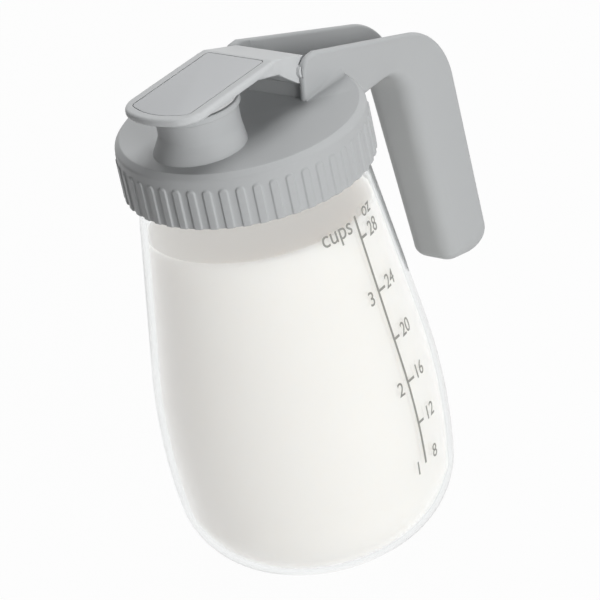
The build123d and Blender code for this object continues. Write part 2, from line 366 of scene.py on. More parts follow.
def dress(piece: bpy.types.Object, finish: Finish) -> None:
    """Give a piece one finish over all its faces.

    Args:
        piece: a mesh object, new or carried over from the frame.
        finish: its finish.
    """
    if finish not in MATERIALS:
        MATERIALS[finish] = finish.value.material()
    if not piece.material_slots:
        piece.data.materials.append(None)
    for slot in piece.material_slots:
        slot.link = "OBJECT"
        slot.material = MATERIALS[finish]


@dataclass(frozen=True)
class Arc:
    """An arc of a circle in a plane: its centre, the way from there to its start and its turn in radians."""

    centre: Vector
    start: Vector
    turn: float

    def at(self, share: float) -> Vector:
        """Find a point of the arc.

        Args:
            share: how much of the way along it lies.

        Returns:
            The point.
        """
        cos, sin = math.cos(self.turn * share), math.sin(self.turn * share)
        x, y = self.start
        return self.centre + Vector((x * cos - y * sin, x * sin + y * cos))


def corner_arc(before: Vector, corner: Vector, after: Vector, radius: float) -> Arc:
    """Round the corner between two straights.

    Args:
        before: any point on the first straight.
        corner: where the straights meet.
        after: any point on the second straight.
        radius: the radius of the arc.

    Returns:
        The arc from the first straight to the second.
    """
    back = (before - corner).normalized()
    ahead = (after - corner).normalized()
    half = back.angle(ahead) / 2
    centre = corner + (back + ahead).normalized() * (radius / math.sin(half))
    start = corner + back * (radius / math.tan(half)) - centre
    end = corner + ahead * (radius / math.tan(half)) - centre
    return Arc(centre, start, -start.angle_signed(end))


def rounded(corners: list[Triple], turn: float = 4.0, steps: int = 0) -> list[Pair]:
    """Follow corners in a plane, each rounded by its radius.

    Args:
        corners: x, y and radius of each corner; the radius is 0 at the ends and where the corner is sharp.
        turn: the greatest turn between two points of an arc, in degrees.
        steps: how many steps each arc has, or 0 to let the turn decide.

    Returns:
        The points of the line and its arcs.
    """
    points = []
    for i, (x, y, radius) in enumerate(corners):
        if not radius:
            points.append((x, y))
            continue
        arc = corner_arc(Vector(corners[i - 1][:2]), Vector((x, y)), Vector(corners[i + 1][:2]), radius)
        count = steps or max(2, math.ceil(math.degrees(abs(arc.turn)) / turn))
        points += [tuple(arc.at(step / count)) for step in range(count + 1)]
    return points


def all_round(corners: list[Triple], turn: float) -> list[Pair]:
    """Follow corners all the way round, each rounded by its radius.

    Args:
        corners: x, y and radius of each corner.
        turn: the greatest turn between two points of an arc, in degrees.

    Returns:
        The points of the closed outline.
    """
    return rounded([(*corners[-1][:2], 0), *corners, (*corners[0][:2], 0)], turn)[1:-1]


def straight_and_arcs(corners: list[Triple], steps: tuple[int, ...]) -> list[list[Vector]]:
    """Cut a rounded line into its straights and arcs, in equal steps.

    Args:
        corners: x, y and radius of each corner; the radius is 0 at the two ends only.
        steps: how many steps each straight and each arc has, in order.

    Returns:
        The points of each straight and each arc, both its ends included.
    """
    spots = [Vector(corner[:2]) for corner in corners]
    arcs = [corner_arc(*spots[i - 1 : i + 2], corners[i][2]) for i in range(1, len(spots) - 1)]
    runs = []
    here = spots[0]
    for i, arc in enumerate(arcs):
        count, arc_count = steps[2 * i], steps[2 * i + 1]
        runs.append([here.lerp(arc.at(0), step / count) for step in range(count + 1)])
        runs.append([arc.at(step / arc_count) for step in range(arc_count + 1)])
        here = arc.at(1)
    return runs


def mix(first: float, last: float, share: float) -> float:
    """Find the value a share of the way from the first to the last."""
    return first + (last - first) * share


def mixed(first: Pair, last: Pair, share: float) -> Pair:
    """Find the pair of values a share of the way from the first pair to the last."""
    return mix(first[0], last[0], share), mix(first[1], last[1], share)


def smooth_step(value: float) -> float:
    """Rise from 0 to 1 as the value does, level at both ends."""
    value = min(max(value, 0.0), 1.0)
    return value * value * (3 - 2 * value)


def mesh_object(name: str, rings: list[Ring], caps: bool = False) -> bpy.types.Object:
    """Skin a list of rings of equal length into a mesh object.

    Args:
        name: the object's name.
        rings: the rings in order, in millimetres.
        caps: whether the first and last rings are filled.

    Returns:
        The object, smooth shaded and linked to the scene.
    """
    mesh = bpy.data.meshes.new(name)
    build = bmesh.new()
    rows = [[build.verts.new(point * MM) for point in ring] for ring in rings]
    count = len(rows[0])
    for lower, upper in zip(rows, rows[1:]):
        for i in range(count):
            j = (i + 1) % count
            build.faces.new((lower[i], lower[j], upper[j], upper[i]))
    if caps:
        build.faces.new(list(reversed(rows[0])))
        build.faces.new(rows[-1])
    bmesh.ops.remove_doubles(build, verts=build.verts, dist=1e-7)
    bmesh.ops.recalc_face_normals(build, faces=build.faces)
    build.to_mesh(mesh)
    build.free()
    piece = bpy.data.objects.new(name, mesh)
    bpy.context.scene.collection.objects.link(piece)
    smooth(piece)
    return piece


def smooth(piece: bpy.types.Object, sharp: float = 32.0) -> None:
    """Shade a piece smooth, apart from edges sharper than an angle.

    Args:
        piece: a mesh object.
        sharp: the angle in degrees.
    """
    piece.data.shade_smooth()
    piece.data.set_sharp_from_angle(angle=math.radians(sharp))


def even_turn(count: int) -> list[float]:
    """Angles that go once round in equal steps."""
    return [2 * math.pi * i / count for i in range(count)]


def cross_circle(x: float, centre: Pair, radius: float, count: int) -> Ring:
    """A circle that faces along X.

    Args:
        x: its place along X.
        centre: the place of its middle along Y and Z.
        radius: its radius.
        count: how many points it has.

    Returns:
        Its ring.
    """
    y, z = centre
    return [Vector((x, y + radius * math.cos(a), z + radius * math.sin(a))) for a in even_turn(count)]


def turned(
    profile: list[Pair],
    angles: list[float],
    centre: float = 0.0,
    swell: Callable[[float, float, float], float] | None = None,
) -> list[Ring]:
    """Turn a profile about an upright axis.

    Args:
        profile: radius and height of each point.
        angles: where each ring has its points.
        centre: the axis's place along Y.
        swell: what the radius gains at a radius, height and angle.

    Returns:
        One ring for each point of the profile.
    """
    rings = []
    for r, z in profile:
        reach = [r + (swell(r, z, a) if swell else 0.0) for a in angles]
        rings.append([Vector((d * math.cos(a), centre + d * math.sin(a), z)) for d, a in zip(reach, angles)])
    return rings


def carve(body: bpy.types.Object, operation: str, tools: list[bpy.types.Object]) -> None:
    """Join closed meshes to a body or cut them out of it, and drop them.

    Args:
        body: the closed mesh that changes.
        operation: "UNION" or "DIFFERENCE".
        tools: the closed meshes that join it or cut it.
    """
    for tool in tools:
        step = body.modifiers.new(tool.name, "BOOLEAN")
        step.operation = operation
        step.solver = "EXACT"
        step.object = tool
    bpy.context.view_layer.update()
    result = bpy.data.meshes.new_from_object(body.evaluated_get(bpy.context.evaluated_depsgraph_get()))
    body.modifiers.clear()
    used = body.data
    body.data = result
    bpy.data.meshes.remove(used)
    for tool in tools:
        bpy.data.meshes.remove(tool.data)
    smooth(body)


@dataclass
class ThreadRidge:
    """A round-topped screw ridge on a turned wall. Sizes in millimetres."""

    pitch: float = 5.0
    height: float = 1.3
    half_width: float = 1.1
    turns: float = 1.5
    fade: float = 0.1
    steepness: float = 1.4

    def swell(self, low: float, height: float, angle: float) -> float:
        """Work out what the ridge adds to the wall.

        Args:
            low: the height at which the ridge starts.
            height: the height of the place on the wall.
            angle: its angle round the wall.

        Returns:
            How far the ridge stands out there.
        """
        most = 0.0
        for lap in range(math.ceil(self.turns)):
            turn = (angle % (2 * math.pi)) / (2 * math.pi) + lap
            if turn > self.turns:
                continue
            off = abs(height - low - self.pitch * turn) / self.half_width
            ends = smooth_step(min(turn, self.turns - turn) / self.fade)
            most = max(most, self.height * smooth_step(self.steepness * (1 - off)) * ends)
        return most


@dataclass
class Bottle:
    """The glass bottle and the milk in it. Sizes in millimetres.

    The heel, the belly and the shoulder are corners of the outer line: radius, height and rounding.
    """

    foot_radius: float = 27.2
    ring_width: float = 4.0
    punt_depth: float = 2.4
    punt_edge: float = 3.0
    punt_rounding: float = 3.0
    wall: float = 2.2
    floor: float = 3.4
    well_edge: float = 8.0
    well_rounding: float = 12.0
    heel: Triple = (48.5, 12.95, 30.0)
    belly: Triple = (52.7, 54.5, 215.0)
    shoulder: Triple = (40.85, 142.0, 40.0)
    body_top: Pair = (40.4, 150.2)
    neck_radius: float = 39.0
    neck_step: float = 0.9
    neck_top: float = frame_mm("bottle", 2, 1)
    neck_foot_rounding: float = 0.5
    rim_rounding: float = 0.9
    inner_neck_rounding: float = 1.5
    # Rows of points on the neck for its thread: their start above the neck's foot, their step, their count.
    thread_rows: tuple[float, float, int] = (0.6, 0.36, 30)
    thread_low: float = 153.9
    segments: int = 192
    milk_height: float = 134.0
    milk_gap: float = 0.25
    milk_foot_lift: float = 0.4
    meniscus: float = 1.2

    def outer(self) -> list[Pair]:
        """The outside of the body, from the foot up, as radius and height."""
        corners = [(self.foot_radius, 0, 0), self.heel, self.belly, self.shoulder, (*self.body_top, 0)]
        return rounded(corners, 1.0)

    def inner(self, amount: float) -> list[Pair]:
        """The body's outline moved inward.

        Args:
            amount: how far inside the outer line it lies.

        Returns:
            Radius and height of each point.
        """
        line = [Vector(p) for p in self.outer()]
        points = []
        for i, here in enumerate(line):
            along = (line[min(i + 1, len(line) - 1)] - line[max(i - 1, 0)]).normalized()
            points.append((here.x - along.y * amount, here.y + along.x * amount))
        return points

    def glass(self) -> bpy.types.Object:
        """Make the bottle's wall, which replaces the frame's bottle.

        Returns:
            One closed mesh, with the raised thread on its neck.
        """
        inside = self.inner(self.wall)
        neck, neck_inside = self.neck_radius, self.neck_radius - self.wall
        neck_foot = self.body_top[1] + self.neck_step
        start, step, count = self.thread_rows
        rows = [neck_foot + start + step * i for i in range(count)]
        punt = self.foot_radius - self.ring_width
        floor = self.punt_depth + self.floor
        punt_corner = (punt - self.punt_edge, self.punt_depth, self.punt_rounding)
        profile = [(0, self.punt_depth), *rounded([(0, self.punt_depth, 0), punt_corner, (punt, 0, 0)])[1:]]
        profile += self.outer()
        corners = [(*self.body_top, 0), (neck, neck_foot, self.neck_foot_rounding), (neck, rows[0], 0)]
        profile += rounded(corners)[1:] + [(neck, z) for z in rows[1:]]
        corners = [(neck, rows[-1], 0), (neck, self.neck_top, self.rim_rounding)]
        corners += [(neck_inside, self.neck_top, self.rim_rounding)]
        corners += [(neck_inside, neck_foot, self.inner_neck_rounding), (*inside[-1], 0)]
        profile += rounded(corners, 15)[1:] + inside[-2::-1]
        well = (inside[0][0] - self.well_edge, floor, self.well_rounding)
        profile += rounded([(*inside[0], 0), well, (0, floor, 0)], 5)[1:]
        ridge = ThreadRidge()

        def thread(radius: float, height: float, angle: float) -> float:
            """The ridge stands out from the neck, half a pitch from the lid's own."""
            on_neck = radius == neck and rows[0] <= height <= rows[-1]
            return ridge.swell(self.thread_low, height, angle) if on_neck else 0.0

        piece = mesh_object("bottle_glass", turned(profile, even_turn(self.segments), swell=thread))
        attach(piece, "bottle")
        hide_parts("bottle")
        dress(piece, Finish.GLASS)
        return piece

    def milk(self) -> bpy.types.Object:
        """Make the milk.

        Returns:
            The milk, level, with its rim drawn up a little where it meets the glass.
        """
        line = self.inner(self.wall + self.milk_gap)
        inside = [p for p in line if p[1] < self.milk_height]
        (low_r, low_z), (high_r, high_z) = line[len(inside) - 1], line[len(inside)]
        edge = low_r + (high_r - low_r) * (self.milk_height - low_z) / (high_z - low_z)
        floor = self.punt_depth + self.floor + self.milk_gap
        foot = (inside[0][0] - self.well_edge, floor + self.milk_foot_lift, self.well_rounding)
        profile = rounded([(0, floor, 0), foot, (*inside[0], 0)], 5) + inside[1:]
        for step in range(7):
            turn = math.radians(15 * step)
            across, down = self.meniscus * (1 - math.cos(turn)), self.meniscus * math.sin(turn)
            profile.append((edge - across, self.milk_height - down))
        profile.append((0, self.milk_height - self.meniscus))
        piece = mesh_object("milk", turned(profile, even_turn(self.segments)))
        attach(piece, "bottle")
        dress(piece, Finish.MILK)
        return piece

    def radius_at(self, height: float) -> float:
        """Measure the outside of the body.

        Args:
            height: the height above the table.

        Returns:
            Its radius there.
        """
        line = self.outer()
        for (r0, z0), (r1, z1) in zip(line, line[1:]):
            if z0 <= height <= z1:
                return r0 + (r1 - r0) * (height - z0) / max(z1 - z0, 1e-9)
        return self.body_top[0]


@dataclass
class PrintedScale:
    """The generic measuring scale on the glass: a line, ticks, plain numbers and the two unit words.

    Places are in millimetres round the glass from the line, and in height. A mark is its number and height.
    """

    bottle: Bottle
    azimuth: float = 2.0
    line_low: float = 39.8
    line_high: float = 136.4
    line_width: float = 0.9
    ounces: tuple[Pair, ...] = ((28, 128.0), (24, 107.6), (20, 89.0), (16, 72.3), (12, 55.9), (8, 40.5))
    cups: tuple[Pair, ...] = ((3, 107.6), (2, 72.3), (1, 40.5))
    cup_ounces: int = 8
    long_tick: float = 3.5
    short_tick: float = 2.8
    text_size: float = 7.4
    cups_word_size: float = 8.9
    text_narrowing: float = 0.86
    # The middle of a digit and of a small letter, as shares of the text's size.
    digit_middle: float = 0.35
    letter_middle: float = 0.26
    ounce_start: float = 4.8
    ounce_lift: float = 0.8
    cup_end: float = -2.6
    cup_drop: float = 0.6
    oz_place: Pair = (4.2, 135.6)
    cups_place: Pair = (-2.6, 134.0)
    film: float = 0.06
    longest_edge: float = 1.5

    def wrap(self, name: str, flat: bpy.types.Mesh) -> bpy.types.Object:
        """Bend a flat print round the glass.

        Args:
            name: the new piece's name.
            flat: a mesh in millimetres; its X runs round the bottle from the line and its Y is the height.

        Returns:
            The printed piece, a thin closed film just proud of the glass.
        """
        build = bmesh.new()
        build.from_mesh(flat)
        bmesh.ops.triangulate(build, faces=build.faces)
        for _ in range(3):
            long_edges = [e for e in build.edges if e.calc_length() > self.longest_edge]
            if not long_edges:
                break
            bmesh.ops.subdivide_edges(build, edges=long_edges, cuts=2)
            bmesh.ops.triangulate(build, faces=build.faces)
        sheet = bmesh.ops.extrude_face_region(build, geom=build.faces[:])
        raised = {v for v in sheet["geom"] if isinstance(v, bmesh.types.BMVert)}
        for vert in build.verts:
            x, height, _ = vert.co
            radius = self.bottle.radius_at(height)
            angle = math.radians(self.azimuth) + x / radius
            reach = radius + (self.film if vert in raised else -self.film)
            vert.co = Vector((reach * math.cos(angle), reach * math.sin(angle), height)) * MM
        bmesh.ops.recalc_face_normals(build, faces=build.faces)
        mesh = bpy.data.meshes.new(name)
        build.to_mesh(mesh)
        build.free()
        piece = bpy.data.objects.new(name, mesh)
        bpy.context.scene.collection.objects.link(piece)
        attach(piece, "bottle")
        dress(piece, Finish.INK)
        return piece

    def bars(self) -> bpy.types.Object:
        """Print the upright line and its ticks.

        Returns:
            The line and the ticks as one piece.
        """
        build = bmesh.new()
        half = self.line_width / 2
        boxes = [(-half, half, self.line_low, self.line_high)]
        for number, height in self.ounces[:-1]:
            length = self.short_tick if number % self.cup_ounces else self.long_tick
            boxes.append((half, half + length, height - half, height + half))
        for x0, x1, y0, y1 in boxes:
            corners = [build.verts.new((x, y, 0)) for x, y in ((x0, y0), (x1, y0), (x1, y1), (x0, y1))]
            build.faces.new(corners)
        flat = bpy.data.meshes.new("flat_bars")
        build.to_mesh(flat)
        build.free()
        piece = self.wrap("scale_line", flat)
        bpy.data.meshes.remove(flat)
        return piece

    def words(
        self, name: str, text: str, place: Pair, align: str, size: float | None = None
    ) -> bpy.types.Object:
        """Print one number or unit word.

        Args:
            name: the new piece's name.
            text: what it says.
            place: where it starts or ends, and the height of its middle.
            align: "LEFT" to start at the place or "RIGHT" to end there.
            size: the size of its letters, or None for the scale's own.

        Returns:
            The printed piece.
        """
        size = size or self.text_size
        curve = bpy.data.curves.new(name, "FONT")
        curve.body = text
        curve.size = size
        curve.align_x = align
        curve.resolution_u = 4
        maker = bpy.data.objects.new(name, curve)
        bpy.context.scene.collection.objects.link(maker)
        flat = bpy.data.meshes.new_from_object(maker)
        bpy.data.objects.remove(maker)
        bpy.data.curves.remove(curve)
        x, height = place
        middle = size * (self.digit_middle if text.isdigit() else self.letter_middle)
        for vert in flat.vertices:
            vert.co = Vector((x + vert.co.x * self.text_narrowing, height - middle + vert.co.y, 0))
        piece = self.wrap(name, flat)
        bpy.data.meshes.remove(flat)
        return piece

    def build(self) -> list[bpy.types.Object]:
        """Print the whole scale.

        Returns:
            The line, the numbers and the words.
        """
        pieces = [self.bars()]
        for number, height in self.ounces:
            place = (self.ounce_start, height + self.ounce_lift)
            pieces.append(self.words(f"scale_oz_{number}", str(number), place, "LEFT"))
        for number, height in self.cups:
            place = (self.cup_end, height - self.cup_drop)
            pieces.append(self.words(f"scale_cups_{number}", str(number), place, "RIGHT"))
        pieces.append(self.words("scale_word_oz", "oz", self.oz_place, "LEFT"))
        pieces.append(self.words("scale_word_cups", "cups", self.cups_place, "RIGHT", self.cups_word_size))
        return pieces


@dataclass
class LidMoulding:
    """The screw lid, its spout and its handle in one moulding. Sizes in millimetres."""

    skirt_bottom: float = 149.2
    skirt_radius: float = 44.0
    skirt_inner: float = 41.5
    skirt_foot: float = 3.0
    skirt_edge: float = 0.5
    lead_in: Pair = (0.4, 0.5)
    shoulder_top: float = 167.2
    shoulder_gap: float = 0.5
    shoulder_rounding: float = 1.9
    rim_radius: float = 42.0
    rim_rounding: float = 0.9
    lid_top: float = 169.2
    dish_bottom: float = 168.4
    plate_underside: float = 166.0
    collar_inner: float = 33.8
    collar_outer: float = 35.6
    collar_low: float = 162.4
    rib_count: int = 48
    rib_half_width: float = 1.45
    rib_relief: float = 0.5
    rib_top: float = 164.0
    rib_edge: float = 0.32
    # Where a rib's flat and the groove beside it have a further point: a share of its half width, and a gap.
    rib_flat: float = 0.55
    groove_gap: float = 0.25
    rib_rows: tuple[float, int] = (0.2, 12)
    # Rows of points inside the skirt for its thread: their start above its bottom, their step, their count.
    thread_rows: tuple[float, float, int] = (1.0, 0.35, 38)
    thread_low: float = 151.4
    segments: int = 192
    spout_segments: int = 128
    spout_shift: float = -1.9
    spout_swell: float = 2.2
    spout_radius: float = 14.4
    spout_sink: float = 1.0
    crease_height: float = 174.8
    foot_height: float = 6.4
    crease_softness: float = 1.3
    crease_steps: int = 4
    lip_radius: float = 15.6
    lip_bottom: float = 182.4
    lip_top: float = 184.8
    lip_roundings: Triple = (0.4, 0.5, 0.6)
    bore: float = 12.0
    bore_edge: float = 0.6

    def rib(self, radius: float, height: float, angle: float) -> float:
        """Work out what a grip rib adds to the skirt: an upright bar with a round top and soft edges.

        Args:
            radius: the radius of a place on the lid's outside.
            height: its height.
            angle: its angle round the lid.

        Returns:
            How far the rib stands out there.
        """
        if radius < self.rim_radius or height > self.rib_top + 2 * self.rib_edge:
            return 0.0
        pitch = 2 * math.pi / self.rib_count
        across = ((angle + pitch / 2) % pitch - pitch / 2) * self.skirt_radius
        above = max(0.0, height - (self.rib_top - self.rib_half_width))
        edge = self.rib_half_width - math.hypot(across, above)
        return self.rib_relief * smooth_step(0.5 + edge / (2 * self.rib_edge))

    def rib_angles(self) -> list[float]:
        """Place the points round the skirt.

        Returns:
            Their angles, close together at the ribs' edges.
        """
        half = self.rib_half_width
        spots = [0.0, half * self.rib_flat] + [half + self.rib_edge * s for s in (-1, -0.5, 0, 0.5, 1)]
        spots.append(math.pi * self.skirt_radius / self.rib_count - self.groove_gap)
        offsets = sorted([-s for s in spots[1:]] + spots)
        pitch = 2 * math.pi / self.rib_count
        return [i * pitch + s / self.skirt_radius for i in range(self.rib_count) for s in offsets]

    def shell(self) -> bpy.types.Object:
        """Turn the lid's outside.

        Returns:
            A full block, ribs included.
        """
        radius, bottom = self.skirt_radius, self.skirt_bottom
        step, count = self.rib_rows
        rows = [self.rib_top - self.rib_half_width + step * i for i in range(count)]
        corners = [(radius - self.skirt_foot, bottom, 0), (radius, bottom, self.skirt_edge)]
        profile = [(0, bottom), *rounded([*corners, (radius, rows[0], 0)], 20)]
        profile += [(radius, z) for z in rows[1:]]
        corners = [(radius, rows[-1] + self.shoulder_gap, 0)]
        corners += [(radius, self.shoulder_top, self.shoulder_rounding)]
        corners += [(self.rim_radius, self.lid_top, self.rim_rounding), (0, self.dish_bottom, 0)]
        profile += rounded(corners, 8)
        return mesh_object("lid_moulding", turned(profile, self.rib_angles(), swell=self.rib))

    def hollow(self) -> bpy.types.Object:
        """Turn what is taken out under the lid.

        Returns:
            The skirt's inside with its thread, round the collar.
        """
        wall, bottom = self.skirt_inner, self.skirt_bottom
        start, step, count = self.thread_rows
        rows = [bottom + start + step * i for i in range(count)]
        wide, deep = self.lead_in
        profile = [(0, bottom - OVERCUT), (wall + wide, bottom - OVERCUT)]
        profile += [(wall + wide, bottom), (wall, bottom + deep), *((wall, z) for z in rows)]
        profile += [(radius, self.plate_underside) for radius in (wall, self.collar_outer)]
        profile += [(radius, self.collar_low) for radius in (self.collar_outer, self.collar_inner)]
        profile += [(radius, self.plate_underside) for radius in (self.collar_inner, 0)]
        ridge = ThreadRidge()

        def thread(radius: float, height: float, angle: float) -> float:
            """The ridge narrows the hollow, on its wall only."""
            on_wall = radius == wall and rows[0] <= height <= rows[-1]
            return -ridge.swell(self.thread_low, height, angle) if on_wall else 0.0

        return mesh_object("lid_hollow", turned(profile, even_turn(self.segments), swell=thread))

    def spout(self) -> bpy.types.Object:
        """Make the spout: a coned foot set further forward, a soft crease, the tube and its lip.

        Returns:
            A full block that sinks into the lid's top.
        """
        soft, steps, angles = self.crease_softness, self.crease_steps, even_turn(self.spout_segments)
        heights = [self.dish_bottom - self.spout_sink, self.crease_height - soft]
        heights += [self.crease_height + soft * (i / steps - 1) for i in range(1, 2 * steps + 1)]
        rings = []
        for z in heights:
            below = self.crease_height - z
            ramp = below if below > soft else (below + soft) ** 2 / (4 * soft)
            share = ramp / self.foot_height
            reach = self.spout_radius + self.spout_swell * share
            rings += turned([(reach, z)], angles, SPOUT_CENTRE + self.spout_shift * share)
        inner, under, upper = self.lip_roundings
        tube, lip = self.spout_radius, self.lip_radius
        corners = [(tube, self.crease_height + soft, 0), (tube, self.lip_bottom, inner)]
        corners += [(lip, self.lip_bottom, under), (lip, self.lip_top, upper), (0, self.lip_top, 0)]
        rings += turned(rounded(corners, 15)[1:], angles, SPOUT_CENTRE)
        base = [Vector((0, SPOUT_CENTRE + self.spout_shift, heights[0]))] * len(angles)
        return mesh_object("lid_spout", [base, *rings])

    def bore_tool(self) -> bpy.types.Object:
        """Turn what is bored out of the spout.

        Returns:
            The bore, with the soft inner edge of the lip.
        """
        edge, low, high = self.bore_edge, self.plate_underside - OVERCUT, self.lip_top + OVERCUT
        profile = [(0, low), (self.bore, low)]
        for turn in (math.radians(30 * step) for step in range(4)):
            across, down = edge * (1 - math.cos(turn)), edge * (1 - math.sin(turn))
            profile.append((self.bore + across, self.lip_top - down))
        profile += [(self.bore + edge, high), (0, high)]
        return mesh_object("spout_bore", turned(profile, even_turn(self.spout_segments), SPOUT_CENTRE))

    def build(self) -> bpy.types.Object:
        """Join the skirt, the spout, the handle and the hinge's wall, and cut the hollows.

        Returns:
            The lid, which replaces the frame's lid.
        """
        handle = Handle()
        lid = self.shell()

        def top(radius: float) -> float:
            """Height of the dished top at a distance from its middle."""
            return self.dish_bottom + (self.lid_top - self.dish_bottom) * radius / self.rim_radius

        junctions = [handle.junction(side, top, self.rim_radius) for side in (-1, 1)]
        carve(lid, "UNION", [self.spout(), handle.block(), handle.hinge_wall(), *junctions])
        carve(lid, "DIFFERENCE", [self.hollow(), self.bore_tool(), handle.bay(), *handle.sockets()])
        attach(lid, "lid")
        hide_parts("lid")
        dress(lid, Finish.BODY)
        return lid


def box(name: str, low: Triple, high: Triple) -> bpy.types.Object:
    """A closed block between two corners, for cutting and joining.

    Args:
        name: the object's name.
        low: its lowest corner.
        high: its highest corner.

    Returns:
        The block.
    """
    (x0, y0, z0), (x1, y1, z1) = low, high
    base = [(x0, y0), (x1, y0), (x1, y1), (x0, y1)]
    return mesh_object(name, [[Vector((x, y, z)) for x, y in base] for z in (z0, z1)], caps=True)


@dataclass
class Handle:
    """The two rails that run back from the hinge and close into the grip. Sizes in millimetres.

    Half widths are given in pairs, for the outer and the inner side of the handle.
    """

    front: float = 17.0
    front_top: float = 187.4
    fall: float = 19.8
    loft_start: float = 13.0
    underside: float = 152.5
    reach: float = 97.5
    inner_reach: float = 76.3
    grip_end: float = frame_mm("lid", 2, 0)
    end_outer: float = 102.42
    end_middle: float = 91.5
    end_inner: float = 83.6
    outer_roundings: Pair = (28.0, 9.0)
    inner_roundings: Pair = (13.0, 6.0)
    rail_halves: Pair = (19.5, 14.0)
    corner_halves: Pair = (14.8, 10.4)
    grip_halves: Pair = (13.6, 9.3)
    end_inset: float = 6.0
    rail: float = 3.1
    web: float = 3.2
    top_rounding: float = 1.5
    least_flat: float = 0.05
    # The rounding of the inner corners along the rails, down the grip and at its end.
    low_roundings: Triple = (4.0, 7.5, 1.8)
    floor_rounding: float = 1.7
    # How far down the grip the channel goes, and how short its end wall is, as shares of the grip.
    channel_share: float = 0.9
    channel_wall: float = 0.003
    nose: float = 6.0
    nose_edge: float = 1.3
    nose_first: Triple = (0.0, 0.15, 0.5)
    nose_steps: int = 10
    arc_steps: int = 6
    # Sections along the rails, round the corner, down the grip and round its end.
    loft_steps: tuple[int, int, int, int] = (16, 26, 20, 8)
    junction_ends: Pair = (17.3, 39.0)
    junction_full: float = 38.0
    junction_sizes: Pair = (0.5, 3.0)
    junction_least: float = 0.05
    junction_steps: int = 22
    # How far the junction is sunk in the rail, below the lid's top, and at its thin edge.
    junction_sink: Triple = (1.5, 0.8, 0.04)
    straight_end: float = 78.0
    bay_half: float = 15.4
    bay_back: float = 29.0
    bay_end: Pair = (32.5, 14.0)
    wall_front: float = 19.0
    wall: float = 3.0
    wall_low: float = 167.0
    wall_top: float = 174.2
    wall_sink: float = 0.6
    socket: float = 2.35
    socket_reach: float = 17.1

    def rail_top(self, y: float) -> float:
        """Height of the handle's top line, which falls toward the grip."""
        return self.front_top - math.tan(math.radians(self.fall)) * (y - self.front)

    def halves_at(self, y: float, end: float) -> Pair:
        """Half widths of the rails at a place, where their straight run goes as far as the end."""
        return mixed(self.rail_halves, self.corner_halves, (y - self.loft_start) / (end - self.loft_start))

    def section(
        self, outer: Vector, inner: Vector, halves: Pair, low: float, opened: bool, edge: float = 0.0
    ) -> Ring:
        """Make one section across the handle.

        Args:
            outer: the middle of its outer side, along Y and Z.
            inner: the middle of its inner side.
            halves: its half widths at the outer and the inner side.
            low: the rounding of its inner corners.
            opened: whether the channel is open here.
            edge: how far the walls' edges are drawn in, for a soft front end.

        Returns:
            The section's ring.
        """
        across = outer - inner
        depth = across.length
        wide, narrow = halves[0] - edge, halves[1] - edge
        lean = (wide - narrow) / depth
        rail = self.rail - 2 * edge
        top = min(self.top_rounding, rail / 2 - self.least_flat)
        steps = self.arc_steps
        side = rounded([(0, 0, 0), (narrow, 0, low), (wide, depth, top), (0, depth, 0)], steps=steps)[:-1]
        if opened:
            floor = (narrow + lean * self.web - rail, self.web, self.floor_rounding)
            channel = [(*side[-1], 0), (wide - rail, depth, top), floor, (0, self.web, 0)]
            side += rounded(channel, steps=steps)[1:]
        else:
            count = 2 * steps + 3
            side += [(side[-1][0] * (1 - i / count), depth) for i in range(1, count + 1)]
        ring = side + [(-x, v) for x, v in reversed(side[1:-1])]
        along = across / depth
        return [Vector((x, inner.x + along.x * v, inner.y + along.y * v)) for x, v in ring]

    def nose_rings(self, end: float) -> list[Ring]:
        """Make the rails' round front ends.

        Args:
            end: where the first straight of the outer line ends, along Y.

        Returns:
            The sections from the front to where the top line starts.
        """
        turn = math.radians(90 - self.fall)
        arc_foot = self.front_top - self.nose * math.tan(math.radians(45 + self.fall / 2))
        spots = [(y, arc_foot + self.nose * math.sin(math.acos(1 - y / self.nose))) for y in self.nose_first]
        first = math.acos(1 - self.nose_edge / self.nose)
        for step in range(self.nose_steps + 1):
            a = mix(first, turn, step / self.nose_steps)
            spots.append((self.nose * (1 - math.cos(a)), arc_foot + self.nose * math.sin(a)))
        rings = []
        for back, top in spots:
            y = self.front + back
            halves = self.halves_at(y, end)
            cut = (top - self.underside) / (self.rail_top(y) - self.underside)
            wide = mix(halves[1], halves[0], cut)
            left = max(0.0, 1 - back / self.nose_edge)
            edge = self.nose_edge * (1 - math.sqrt(1 - left * left))
            middles = Vector((y, top)), Vector((y, self.underside))
            rings.append(self.section(*middles, (wide, halves[1]), self.low_roundings[0], True, edge))
        return rings

